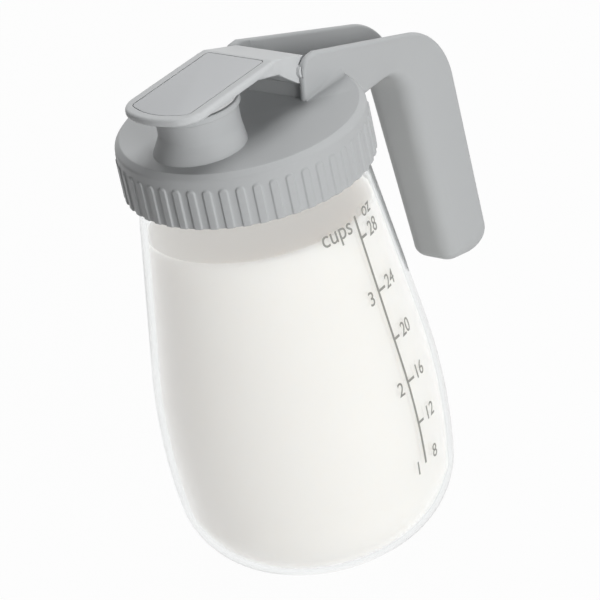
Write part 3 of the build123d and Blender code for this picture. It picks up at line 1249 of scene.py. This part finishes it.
    def block(self) -> bpy.types.Object:
        """Loft the rails and the grip.

        Returns:
            Both as one closed mesh.
        """
        along, round_corner, down, round_end = self.loft_steps
        middle = (self.end_middle, self.grip_end, 0)
        outer_line = [(self.loft_start, self.rail_top(self.loft_start), 0)]
        outer_line += [(self.reach, self.rail_top(self.reach), self.outer_roundings[0])]
        outer_line += [(self.end_outer, self.grip_end, self.outer_roundings[1]), middle]
        inner_line = [(self.loft_start, self.underside, 0)]
        inner_line += [(self.inner_reach, self.underside, self.inner_roundings[0])]
        inner_line += [(self.end_inner, self.grip_end, self.inner_roundings[1]), middle]
        outer = straight_and_arcs(outer_line, self.loft_steps)
        inner = straight_and_arcs(inner_line, self.loft_steps)
        end, inner_end = outer[0][-1].x, inner[0][-1].x
        rings = self.nose_rings(end)
        start = rings[-1][0].y
        rail_low, grip_low, end_low = self.low_roundings
        for i in range(1, along + 1):
            y = mix(start, end, i / along)
            halves = self.halves_at(y, end)
            under = Vector((mix(start, inner_end, i / along), self.underside))
            rings.append(self.section(Vector((y, self.rail_top(y))), under, halves, rail_low, True))
        for i in range(1, round_corner + 1):
            low = mix(rail_low, grip_low, i / round_corner)
            rings.append(self.section(outer[1][i], inner[1][i], self.corner_halves, low, True))
        shares = [i / down for i in range(1, down + 1)]
        shares.insert(shares.index(self.channel_share) + 1, self.channel_share + self.channel_wall)
        for share in shares:
            halves = mixed(self.corner_halves, self.grip_halves, share)
            spots = (outer[2][0].lerp(outer[2][-1], share), inner[2][0].lerp(inner[2][-1], share))
            rings.append(self.section(*spots, halves, grip_low, share <= self.channel_share))
        for i in range(1, round_end + 1):
            share = i / round_end
            drawn = self.end_inset * (1 - math.cos(math.radians(90 * share)))
            halves = (self.grip_halves[0] - drawn, self.grip_halves[1] - drawn)
            low = mix(grip_low, end_low, share)
            rings.append(self.section(outer[3][i], inner[3][i], halves, low, False))
        return mesh_object("lid_handle", rings, caps=True)

    def junction(self, side: int, top: Callable[[float], float], rim: float) -> bpy.types.Object:
        """Make the soft fillet where a rail's outer side meets the lid's top; it grows toward the rim.

        Args:
            side: 1 for the rail at +X, -1 for the other.
            top: the height of the lid's top at a distance from its middle.
            rim: how far out the lid's top reaches.

        Returns:
            The fillet as a closed strip that is half sunk in lid and rail.
        """
        first, last = self.junction_ends
        rail_sink, lid_sink, edge_sink = self.junction_sink
        rings = []
        for i in range(self.junction_steps + 1):
            y = mix(first, last, i / self.junction_steps)
            wide, narrow = self.halves_at(y, self.straight_end)
            lean = (wide - narrow) / (self.rail_top(y) - self.underside)
            size = mix(*self.junction_sizes, smooth_step((y - first) / (self.junction_full - first)))
            base = narrow + lean * (top(rim) - self.underside)
            width = max(self.junction_least, min(size, math.sqrt(rim * rim - y * y) - base))
            low = top(math.hypot(base + width, y)) - edge_sink
            ring = [Vector((base - rail_sink, y, low + size)), Vector((base - rail_sink, y, low - lid_sink))]
            ring.append(Vector((base + width, y, low - lid_sink)))
            for step in range(11):
                turn = math.pi / 2 * (1 - step / 10)
                rise = size * (1 - math.sin(turn))
                ring.append(Vector((base + width * (1 - math.cos(turn)) + lean * rise, y, low + rise)))
            rings.append([Vector((side * v.x, v.y, v.z)) for v in ring])
        return mesh_object("rail_junction", rings, caps=True)

    def hinge_wall(self) -> bpy.types.Object:
        """Make the cross wall between the rails' fronts.

        Returns:
            The wall, its ends sunk in the rails.
        """
        half = self.bay_half + self.wall_sink
        low = (-half, self.wall_front, self.wall_low)
        return box("lid_hinge_wall", low, (half, self.wall_front + self.wall, self.wall_top))

    def bay(self) -> bpy.types.Object:
        """Make the room for the cover's arm, which is cut out between the rails' fronts.

        Returns:
            The block to cut away.
        """
        low, high = self.wall_top, self.front_top + OVERCUT
        stations = [(self.loft_start - OVERCUT, self.bay_half), (self.bay_back, self.bay_half), self.bay_end]
        rings = [
            [Vector((x, y, z)) for x, z in ((-half, low), (half, low), (half, high), (-half, high))]
            for y, half in stations
        ]
        return mesh_object("hinge_bay", rings, caps=True)

    def sockets(self) -> list[bpy.types.Object]:
        """Make the blind holes in the rails for the cover's trunnions.

        Returns:
            The two pins to cut away.
        """
        tools = []
        for side in (-1, 1):
            ends = (side * (self.bay_half - OVERCUT), side * self.socket_reach)
            rings = [cross_circle(x, HINGE, self.socket, 32) for x in ends]
            tools.append(mesh_object("trunnion_socket", rings, caps=True))
        return tools


def inset(outline: list[Pair], amount: float) -> list[Pair]:
    """Draw a closed outline inward.

    Args:
        outline: its points, counter-clockwise.
        amount: how far each side moves in.

    Returns:
        The points of the smaller outline, as many as before.
    """
    points = []
    for i, spot in enumerate(outline):
        here, before, after = Vector(spot), Vector(outline[i - 1]), Vector(outline[(i + 1) % len(outline)])
        back, ahead = (here - before).normalized(), (after - here).normalized()
        normals = Vector((-back.y, back.x)), Vector((-ahead.y, ahead.x))
        middle = (normals[0] + normals[1]).normalized()
        points.append(tuple(here + middle * (amount / max(middle.dot(normals[0]), 0.5))))
    return points


def height_at(line: list[Pair], place: float) -> float:
    """Read a line that runs forward only.

    Args:
        line: its points, a place and a height each.
        place: where it is read.

    Returns:
        Its height there.
    """
    for (y0, z0), (y1, z1) in zip(line, line[1:]):
        if place <= y1:
            return z0 + (z1 - z0) * min(max((place - y0) / max(y1 - y0, 1e-9), 0.0), 1.0)
    return line[-1][1]


def soft_edges(low: float, high: float, low_round: float, high_round: float, steps: int = 5) -> list[Pair]:
    """Work out how far a plate with rounded edges is drawn in at each height.

    Args:
        low: the height of its underside.
        high: the height of its top.
        low_round: the rounding of its lower edge.
        high_round: the rounding of its upper edge.
        steps: how many steps each rounding has.

    Returns:
        The inset and the height of each ring, from the underside up.
    """
    quarter = [math.pi / 2 * i / steps for i in range(steps + 1)]
    rings = [(low_round * (1 - math.sin(a)), low + low_round * (1 - math.cos(a))) for a in quarter]
    rings += [(high_round * (1 - math.cos(a)), high - high_round * (1 - math.sin(a))) for a in quarter]
    return rings


@dataclass
class Flap:
    """The hinged cover of the spout, the panel set in it and the soft plug under it. Sizes in millimetres.

    The arm's places are given along Y and in height.
    """

    top: float = frame_mm("spout_cover", 2, 1)
    underside: float = 186.8
    half_width: float = 16.3
    bow: float = 0.5
    side_front: float = -39.3
    apex: float = -45.1
    corner: float = 10.0
    front_rounding: float = 28.0
    back: float = 5.0
    back_rounding: float = 1.3
    edge: float = 1.2
    fold: float = 6.0
    fold_rounding: float = 5.8
    slope_end: Triple = (22.0, 184.1, 1.3)
    arm_start: float = -5.0
    # Where the arm's underside leaves the plate's: how long and how high its first slope is.
    arm_foot: Pair = (1.2, 0.4)
    arm_step: Triple = (1.0, 185.4, 2.0)
    elbow: Triple = (7.4, 183.5, 3.0)
    arm_halves: Pair = (16.15, 15.05)
    arm_edges: Pair = (1.1, 0.4)
    # How many times an edge's rounding the arm is high, at the least.
    arm_least: float = 2.1
    narrowing: Pair = (4.5, 11.5)
    narrowing_steps: int = 8
    barrel: float = 4.3
    barrel_seam: float = 0.1
    trunnion: float = 2.3
    trunnion_reach: float = 16.7
    trunnion_edge: float = 0.3
    panel_half: float = frame_mm("cover_inlay", 0, 1)
    panel_front: Pair = (-36.5, -41.6)
    panel_back: float = frame_mm("cover_inlay", 1, 1)
    panel_rounding: float = 1.6
    panel_corner: float = 2.6
    panel_bow: float = 22.0
    panel_depth: float = 1.2
    panel_proud: float = 0.02
    panel_edge: float = 0.15
    seam: float = 0.3
    plug_radius: float = frame_mm("spout_plug", 0, 1)
    plug_low: float = 185.1
    flange_edges: Pair = (0.3, 0.5)
    cup_radius: float = 11.1
    cup_depth: float = 4.6
    cup_draft: float = 0.35
    cup_wall: float = 1.8
    # The rounding of the cup's corners under the flange, at its rim and inside.
    cup_roundings: Triple = (0.5, 0.6, 0.8)
    stud: float = 3.0
    stud_edge: float = 0.3
    stud_top: float = frame_mm("spout_plug", 2, 1)
    stud_gap: float = 0.05

    def plate(self) -> bpy.types.Object:
        """Make the flat part, its sides bowed.

        Returns:
            The plate with all its edges rounded.
        """
        half, back, corner = self.half_width, (self.back, self.back_rounding), (self.side_front, self.corner)
        front = (0, self.apex, self.front_rounding)
        outline = all_round([(half, *back), (-half, *back), (-half, *corner), front, (half, *corner)], 4)
        rings = []
        for amount, z in soft_edges(self.underside, self.top, self.edge, self.edge):
            ring = []
            for x, y in inset(outline, amount):
                way = min(max((y - self.side_front) / (self.back - self.side_front), 0), 1)
                share = math.sin(math.pi * way) * min(1, abs(x) / half) ** 2
                ring.append(Vector((x + math.copysign(self.bow, x) * share, y, z)))
            rings.append(ring)
        return mesh_object("flap_moulding", rings, caps=True)

    def arm_lines(self) -> tuple[list[Pair], list[Pair]]:
        """Draw the arm from the side.

        Returns:
            Its underside with the barrel's front and bottom, and its top, from front to back.
        """
        y, z = HINGE
        swing = [math.radians(turn) for turn in range(225, 360, 9)]
        barrel = [(y + self.barrel * math.cos(a), z + self.barrel * math.sin(a), 0) for a in swing]
        run, rise = self.arm_foot
        corners = [(self.arm_start, self.underside + rise, 0), (self.arm_start + run, self.underside, 0)]
        corners += [self.arm_step, self.elbow, *barrel, (y + self.barrel, z - self.barrel_seam, 0)]
        top = [(self.arm_start, self.top, 0), (self.fold, self.top, self.fold_rounding), self.slope_end]
        return rounded(corners, 6), rounded([*top, (y + self.barrel, z + self.barrel_seam, 0)], 6)

    def arm(self) -> bpy.types.Object:
        """Make the arm that drops to the hinge and narrows to fit between the rails.

        Returns:
            The arm, with the barrel at its end.
        """
        bottom, top = self.arm_lines()
        first, last = self.narrowing
        steps = self.narrowing_steps
        stations = {round(y, 3) for y, _ in bottom + top}
        stations |= {mix(first, last, i / steps) for i in range(steps + 1)}
        rings = []
        for y in sorted(stations):
            low, high = height_at(bottom, y), height_at(top, y)
            share = smooth_step((y - first) / (last - first))
            half = mix(*self.arm_halves, share)
            edge = min(mix(*self.arm_edges, share), (high - low) / self.arm_least)
            ring = []
            for x, z, begin in ((half, low, -90), (half, high, 0), (-half, high, 90), (-half, low, 180)):
                mid_x, mid_z = x - math.copysign(edge, x), z + (edge if z == low else -edge)
                for turn in (math.radians(begin + 22.5 * step) for step in range(5)):
                    ring.append(Vector((mid_x + edge * math.cos(turn), y, mid_z + edge * math.sin(turn))))
            rings.append(ring)
        return mesh_object("cover_arm", rings, caps=True)

    def trunnions(self) -> bpy.types.Object:
        """Make the pin that reaches into both rails.

        Returns:
            The pin along the hinge's axis, its ends just broken.
        """
        radius, reach = self.trunnion, self.trunnion_reach
        tip, edge = radius - self.trunnion_edge, reach - self.trunnion_edge
        ends = [(-reach, tip), (-edge, radius), (edge, radius), (reach, tip)]
        rings = [cross_circle(x, HINGE, r, 40) for x, r in ends]
        return mesh_object("cover_trunnions", rings, caps=True)

    def panel_rings(self, edges: list[Pair]) -> list[Ring]:
        """Stack the panel's outline.

        Args:
            edges: how far the outline is drawn in at each height.

        Returns:
            One ring for each height.
        """
        half, (side, apex) = self.panel_half, self.panel_front
        back, corner = (self.panel_back, self.panel_rounding), (side, self.panel_corner)
        front = (0, apex, self.panel_bow)
        outline = all_round([(half, *back), (-half, *back), (-half, *corner), front, (half, *corner)], 5)
        return [[Vector((x, y, z)) for x, y in inset(outline, amount)] for amount, z in edges]

    def panel(self) -> bpy.types.Object:
        """Make the bare panel.

        Returns:
            The panel, level with the flap's top, its upper edge just broken.
        """
        low, high = self.top - self.panel_depth + self.panel_proud, self.top + self.panel_proud
        edges = soft_edges(low, high, self.panel_proud, self.panel_edge, 3)
        return mesh_object("flap_panel", self.panel_rings(edges), caps=True)

    def pocket(self) -> bpy.types.Object:
        """Make what is cut out of the flap for the panel, with the dark seam round it."""
        edges = [(-self.seam, self.top - self.panel_depth), (-self.seam, self.top + OVERCUT)]
        return mesh_object("panel_pocket", self.panel_rings(edges), caps=True)

    def plug(self) -> bpy.types.Object:
        """Turn the soft plug.

        Returns:
            Its flange, its stud and the cup that reaches into the spout, in one.
        """
        low, cup, stud, flange = self.plug_low - self.cup_depth, self.cup_radius, self.stud, self.plug_radius
        tip = cup - self.cup_draft
        upper, lower = self.flange_edges
        root, rim, inside = self.cup_roundings
        corners = [(0, self.stud_top, 0), (stud, self.stud_top, self.stud_edge), (stud, self.underside, 0)]
        corners += [(flange, self.underside, upper), (flange, self.plug_low, lower)]
        corners += [(cup, self.plug_low, root), (tip, low, rim), (tip - self.cup_wall, low, rim)]
        corners += [(cup - self.cup_wall, self.plug_low, inside), (0, self.plug_low, 0)]
        return mesh_object("silicone_plug", turned(rounded(corners, 15), even_turn(96), SPOUT_CENTRE))

    def stud_hole(self) -> bpy.types.Object:
        """Turn the hole in the flap that holds the plug's stud.

        Returns:
            The round block to cut away.
        """
        radius, low = self.stud + self.stud_gap, self.underside - OVERCUT
        profile = [(0, low), (radius, low), (radius, self.stud_top), (0, self.stud_top)]
        return mesh_object("stud_hole", turned(profile, even_turn(48), SPOUT_CENTRE))

    def build(self) -> list[bpy.types.Object]:
        """Make the flap, its panel and its plug, and dress them.

        Returns:
            The three pieces, each of which replaces one of the frame's.
        """
        flap = self.plate()
        carve(flap, "UNION", [self.arm(), self.trunnions()])
        carve(flap, "DIFFERENCE", [self.pocket(), self.stud_hole()])
        pieces = [flap, self.panel(), self.plug()]
        nodes = ("spout_cover", "cover_inlay", "spout_plug")
        for piece, node, finish in zip(pieces, nodes, (Finish.FLAP, Finish.PANEL, Finish.PLUG)):
            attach(piece, "cover")
            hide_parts(node)
            dress(piece, finish)
        return pieces


@dataclass(frozen=True)
class SoftBox:
    """A square soft box that looks at the pitcher. Angles in degrees, lengths in metres, power in watts.

    The azimuth runs from the camera's side toward its right. The box itself is not mirrored in the glass.
    """

    name: str
    azimuth: float
    elevation: float
    distance: float
    side: float
    power: float

    def hang(self, aim: Vector, camera_azimuth: float) -> None:
        """Put the lamp in its place.

        Args:
            aim: the place that it looks at.
            camera_azimuth: where the camera stands, in degrees.
        """
        data = bpy.data.lights.new(self.name, "AREA")
        data.shape = "SQUARE"
        data.size = self.side
        data.energy = self.power
        lamp = bpy.data.objects.new(self.name, data)
        lamp.visible_glossy = False
        lamp.visible_transmission = False
        around = math.radians(camera_azimuth + self.azimuth - 90)
        el = math.radians(self.elevation)
        out = Vector((math.cos(around) * math.cos(el), math.sin(around) * math.cos(el), math.sin(el)))
        lamp.location = aim + out * self.distance
        lamp.rotation_euler = out.to_track_quat("Z", "Y").to_euler()
        bpy.context.scene.collection.objects.link(lamp)


@dataclass
class Studio:
    """A plain pale floor, soft light and the camera at the photograph's viewing angle.

    The camera's sizes are in degrees, metres and pixels, and the floor's in millimetres.
    """

    azimuth: float = 43.57
    elevation: float = 27.28
    roll: float = -12.26
    distance: float = 1.4102
    aim: Triple = (0.0, 0.0103, 0.0914)
    focal_pixels: float = 4000.0
    frame_pixels: float = 600.0
    sensor: float = 36.0
    lamps: tuple[SoftBox, ...] = (
        SoftBox("key_softbox", 29, 11, 1.6, 0.8, 23),
        SoftBox("top_softbox", 155, 66, 1.4, 0.9, 13.5),
        SoftBox("fill_softbox", -60, 35, 1.8, 1.2, 0.3),
    )
    world_light: float = 0.08
    paper: str = "#B8B8B8"
    floor_white: float = 0.97
    floor_radius: float = 1500.0
    floor_rings: int = 6
    floor_height: float = -0.4

    def camera(self) -> None:
        """Place the camera: azimuth from +Y toward -X, elevation downward, roll about the line of sight."""
        az, el, roll = (math.radians(a) for a in (self.azimuth, self.elevation, self.roll))
        ahead = Vector((-math.sin(az) * math.cos(el), math.cos(az) * math.cos(el), -math.sin(el)))
        level = Vector((math.cos(az), math.sin(az), 0))
        upright = level.cross(ahead)
        right = level * math.cos(roll) + upright * math.sin(roll)
        up = right.cross(ahead)
        data = bpy.data.cameras.new("camera")
        data.sensor_width = self.sensor
        data.sensor_fit = "HORIZONTAL"
        data.lens = self.focal_pixels / self.frame_pixels * self.sensor
        data.clip_end = 10
        camera = bpy.data.objects.new("camera", data)
        turn = Matrix((right, up, -ahead)).transposed().to_4x4()
        camera.matrix_world = Matrix.Translation(Vector(self.aim) - ahead * self.distance) @ turn
        bpy.context.scene.collection.objects.link(camera)
        bpy.context.scene.camera = camera

    def world(self) -> None:
        """Soft grey light all round, and white where the camera looks past the pitcher."""
        world = bpy.data.worlds.new("studio")
        world.use_nodes = True
        tree = world.node_tree
        tree.nodes.clear()
        seen = seen_rays(tree)
        light, white = (
            add_node(tree, "ShaderNodeBackground", {"Color": linear("#FFFFFF"), "Strength": strength})
            for strength in (self.world_light, 1.0)
        )
        shaders = {0: seen, 1: light.outputs["Background"], 2: white.outputs["Background"]}
        mixer = add_node(tree, "ShaderNodeMixShader", shaders)
        add_node(tree, "ShaderNodeOutputWorld", {"Surface": mixer.outputs["Shader"]})
        bpy.context.scene.world = world

    def floor(self) -> None:
        """A round white floor that keeps the pitcher's shadow."""
        count = self.floor_rings
        profile = [(self.floor_radius * i / count, self.floor_height) for i in range(count + 1)]
        piece = mesh_object("floor", turned(profile, even_turn(96)))
        material, tree = empty_material("white_paper_floor")
        whitening = {0: seen_rays(tree), 1: self.floor_white}
        lift = add_node(tree, "ShaderNodeMath", whitening, operation="MULTIPLY")
        paper = add_node(tree, "ShaderNodeBsdfDiffuse", {"Color": linear(self.paper)})
        glow = add_node(tree, "ShaderNodeEmission", {"Color": linear("#FFFFFF"), "Strength": 1.0})
        shaders = {0: lift.outputs[0], 1: paper.outputs["BSDF"], 2: glow.outputs["Emission"]}
        show(tree, add_node(tree, "ShaderNodeMixShader", shaders).outputs["Shader"])
        piece.data.materials.append(material)

    def build(self) -> None:
        """Set up the camera, the lamps, the world and the floor."""
        self.camera()
        self.world()
        self.floor()
        for lamp in self.lamps:
            lamp.hang(Vector(self.aim), self.azimuth)
        bpy.context.scene.view_settings.view_transform = "Standard"


def main() -> None:
    """Build and dress the pitcher, then the studio round it."""
    logging.basicConfig(level=logging.INFO, format="%(name)s: %(message)s")
    bottle = Bottle()
    pieces = [bottle.glass(), bottle.milk(), *PrintedScale(bottle).build()]
    pieces += [LidMoulding().build(), *Flap().build()]
    for piece in pieces:
        LOG.info("built %s with %d faces", piece.name, len(piece.data.polygons))
    dress(frame["nodes"]["seal_ring"], Finish.SEAL)
    LOG.info("dressed the seal ring in %s", Finish.SEAL.value.name)
    Studio().build()


if __name__ == "__main__":
    main()
